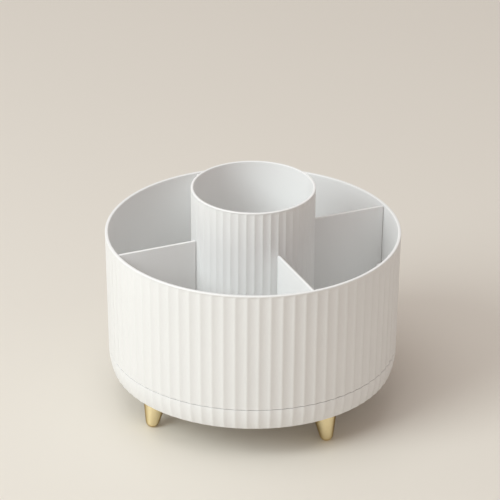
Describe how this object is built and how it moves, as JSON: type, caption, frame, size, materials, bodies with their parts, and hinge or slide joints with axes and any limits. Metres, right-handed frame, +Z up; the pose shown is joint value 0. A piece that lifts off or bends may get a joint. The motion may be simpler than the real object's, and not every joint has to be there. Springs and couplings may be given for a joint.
{
  "type": "rotating makeup organizer",
  "caption": "Round fluted vanity organizer with open compartments, lift-out dividers and a tall centre cup, turning on a ball track over a footed base.",
  "frame": {"origin": "on the spin axis, at the level of the table that the feet stand on", "axes": "+Z up along the spin axis; the dividers lie on the diagonals between X and Y at rest"},
  "size_m": [0.2012, 0.2012, 0.1569],
  "materials": {
    "white_plastic": "satin moulded white",
    "gold_metal": "satin gold",
    "steel": "bright zinc",
    "nylon": "natural nylon"
  },
  "bodies": {
    "base": {"base_dish": "white_plastic", "foot_1": "gold_metal", "foot_2": "gold_metal", "foot_3": "gold_metal", "foot_4": "gold_metal", "foot_screws": "steel", "lower_race": "steel", "pivot_bolt": "steel", "pivot_washer": "steel", "lock_nut": "steel"},
    "drum": {"drum": "white_plastic", "pivot_bush": "nylon", "upper_race": "steel"},
    "cage": {"ball_cage": "nylon", "bearing_balls": "steel"},
    "cup": {"centre_cup": "white_plastic"},
    "divider_1": {"divider_1": "white_plastic"},
    "divider_2": {"divider_2": "white_plastic"},
    "divider_3": {"divider_3": "white_plastic"},
    "divider_4": {"divider_4": "white_plastic"}
  },
  "joints": [
    {"name": "drum_spin", "type": "hinge", "parent": "base", "child": "drum", "pos_m": [0, 0, 0], "axis": [0, 0, 1], "continuous": true},
    {"name": "cage_spin", "type": "hinge", "parent": "base", "child": "cage", "pos_m": [0, 0, 0], "axis": [0, 0, 1], "continuous": true},
    {"name": "cup_lift", "type": "slide", "parent": "drum", "child": "cup", "axis": [0, 0, 1], "range_m": [0, 0.1]},
    {"name": "divider_1_lift", "type": "slide", "parent": "drum", "child": "divider_1", "axis": [0, 0, 1], "range_m": [0, 0.12]},
    {"name": "divider_2_lift", "type": "slide", "parent": "drum", "child": "divider_2", "axis": [0, 0, 1], "range_m": [0, 0.12]},
    {"name": "divider_3_lift", "type": "slide", "parent": "drum", "child": "divider_3", "axis": [0, 0, 1], "range_m": [0, 0.12]},
    {"name": "divider_4_lift", "type": "slide", "parent": "drum", "child": "divider_4", "axis": [0, 0, 1], "range_m": [0, 0.12]}
  ],
  "couplings": [
    {"joint": "cage_spin", "follows": "drum_spin", "ratio": 0.5}
  ]
}
